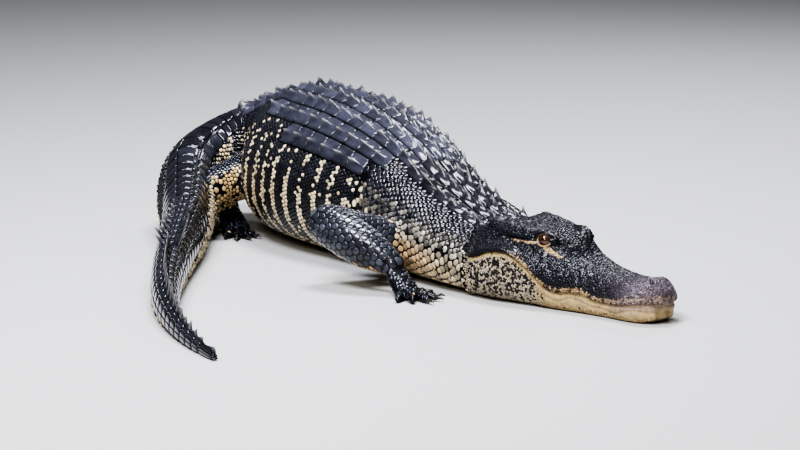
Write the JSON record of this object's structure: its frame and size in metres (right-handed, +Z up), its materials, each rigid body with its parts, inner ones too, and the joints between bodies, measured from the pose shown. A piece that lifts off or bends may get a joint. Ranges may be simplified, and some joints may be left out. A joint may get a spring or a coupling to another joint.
{
  "type": "american alligator",
  "caption": "Life-size American alligator lying at rest, head low and tail curled forward, with keeled scutes, for display or staging.",
  "frame": {"origin": "on the flat of the belly under the middle of the trunk, at floor level", "axes": "+X along the trunk towards the head, +Y to the animal's left, +Z up from the floor"},
  "size_m": [1.3105, 0.9597, 0.2849],
  "materials": {
    "hide": "wet scaly hide, near black above and cream below",
    "jaw_hide": "pale speckled hide",
    "eye": "wet dark brown eye",
    "claw": "dark horn"
  },
  "bodies": {
    "root": {"head": "hide", "lower_jaw": "jaw_hide", "eye_left": "eye", "eye_right": "eye", "neck": "hide", "chest": "hide", "torso": "hide", "pelvis": "hide", "tail_1": "hide", "tail_2": "hide", "tail_3": "hide", "tail_4": "hide", "upper_arm_left": "hide", "upper_arm_right": "hide", "forearm_left": "hide", "forearm_right": "hide", "hand_left": "hide", "hand_right": "hide", "thigh_left": "hide", "thigh_right": "hide", "shank_left": "hide", "shank_right": "hide", "foot_left": "hide", "foot_right": "hide", "claw_hand_left_1": "claw", "claw_hand_left_2": "claw", "claw_hand_left_3": "claw", "claw_hand_right_1": "claw", "claw_hand_right_2": "claw", "claw_hand_right_3": "claw", "claw_foot_left_1": "claw", "claw_foot_left_2": "claw", "claw_foot_left_3": "claw", "claw_foot_right_1": "claw", "claw_foot_right_2": "claw", "claw_foot_right_3": "claw"}
  },
  "joints": []
}
